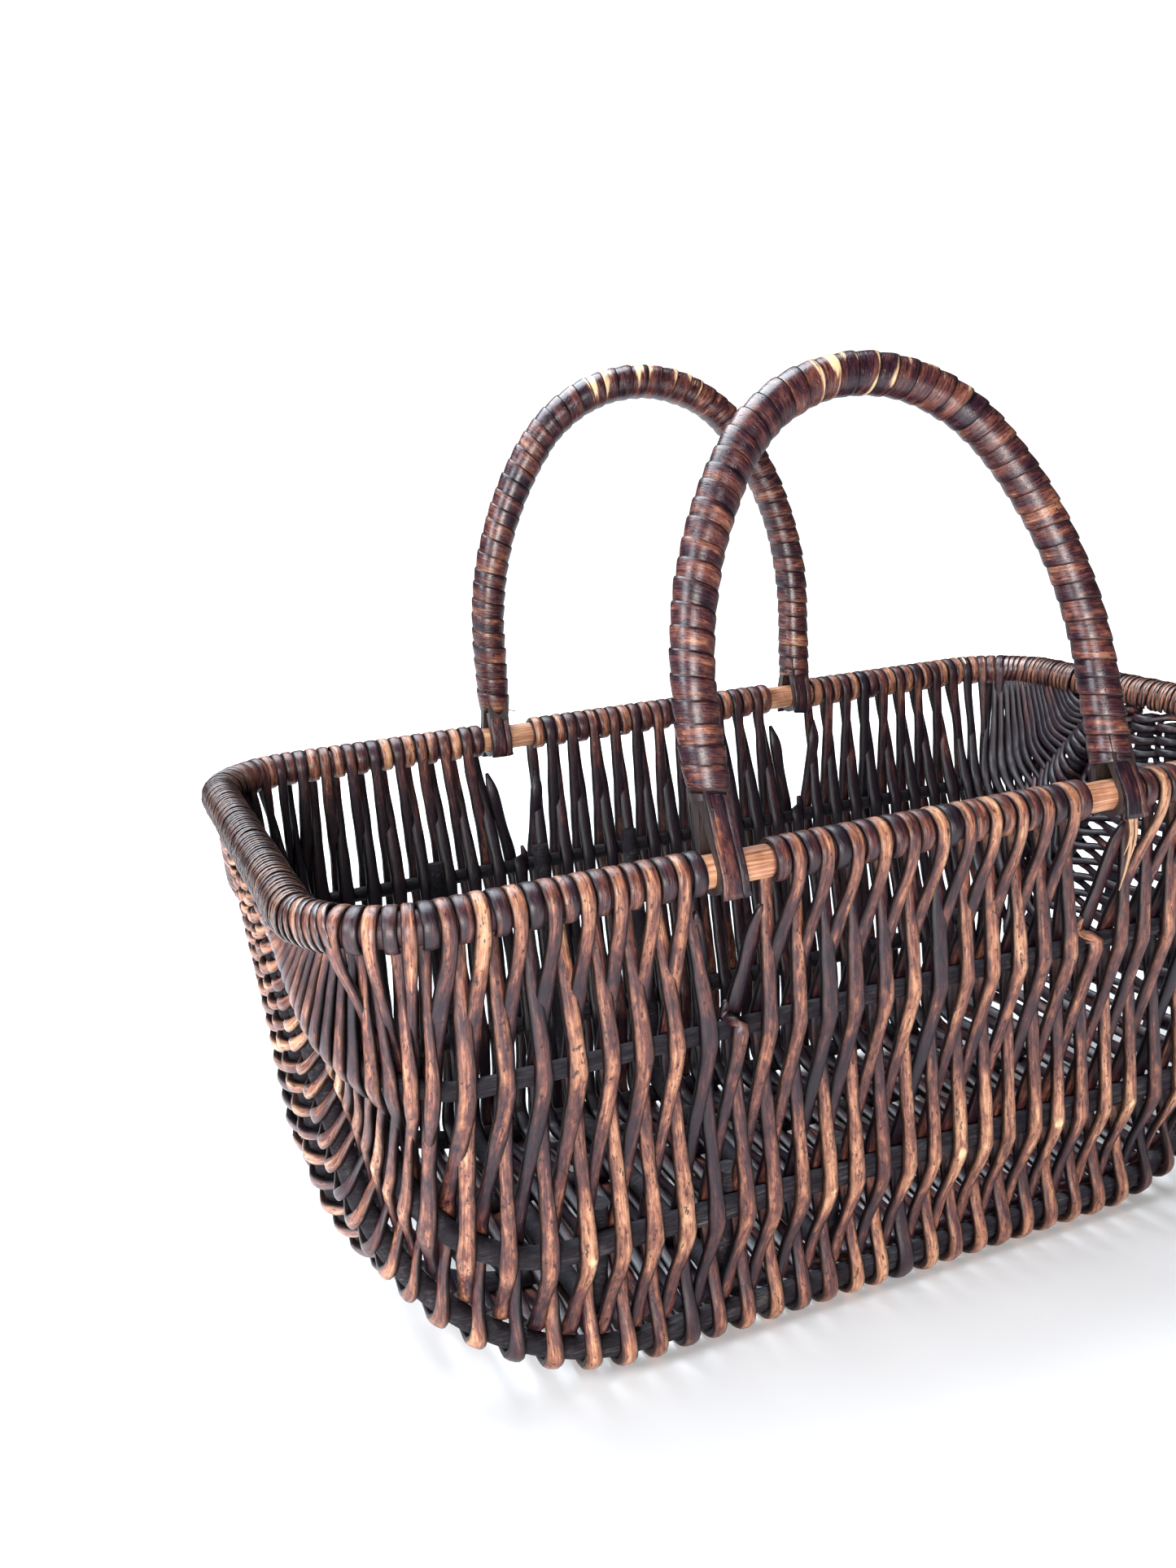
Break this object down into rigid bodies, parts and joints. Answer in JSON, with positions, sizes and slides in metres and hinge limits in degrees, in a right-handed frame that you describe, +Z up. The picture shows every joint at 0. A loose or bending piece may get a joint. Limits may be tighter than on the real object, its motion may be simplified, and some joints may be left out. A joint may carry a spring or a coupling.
{
  "type": "wicker log basket",
  "caption": "Boat-shaped willow frame basket with curved ends, a bound rim, lengthwise ribs and two swing handles that fold to either side.",
  "frame": {"origin": "centre of the floor, on the plane that the basket stands on", "axes": "+X along the basket's length, +Y from the front wall to the back wall, +Z up"},
  "size_m": [0.5806, 0.3212, 0.4744],
  "materials": {
    "bare_willow": "satin",
    "rim_binding": "satin",
    "rib_bark": "matte",
    "willow_weave": "satin",
    "handle_rod": "satin",
    "handle_skein": "gloss"
  },
  "bodies": {
    "basket": {"rim_hoop": "bare_willow", "front_left_binding": "rim_binding", "front_middle_binding": "rim_binding", "front_right_binding": "rim_binding", "back_left_binding": "rim_binding", "back_middle_binding": "rim_binding", "back_right_binding": "rim_binding", "left_end_binding": "rim_binding", "right_end_binding": "rim_binding", "front_upper_rib": "rib_bark", "front_lower_rib": "rib_bark", "front_edge_rib": "rib_bark", "front_floor_rib": "rib_bark", "back_upper_rib": "rib_bark", "back_lower_rib": "rib_bark", "back_edge_rib": "rib_bark", "back_floor_rib": "rib_bark", "left_stake": "rib_bark", "middle_left_stake": "rib_bark", "middle_stake": "rib_bark", "front_wall_weave": "willow_weave", "back_wall_weave": "willow_weave", "left_end_weave": "willow_weave", "right_end_weave": "willow_weave", "floor_weave": "willow_weave"},
    "front_handle": {"front_handle_rod": "handle_rod", "front_handle_wrapping": "handle_skein"},
    "back_handle": {"back_handle_rod": "handle_rod", "back_handle_wrapping": "handle_skein"}
  },
  "joints": [
    {"name": "front_handle_swing", "type": "hinge", "parent": "basket", "child": "front_handle", "pos_m": [0, -0.15, 0.256], "axis": [1, 0, 0], "range_deg": [-25, 141]},
    {"name": "back_handle_swing", "type": "hinge", "parent": "basket", "child": "back_handle", "pos_m": [0, 0.15, 0.256], "axis": [1, 0, 0], "range_deg": [-125, 41]}
  ]
}
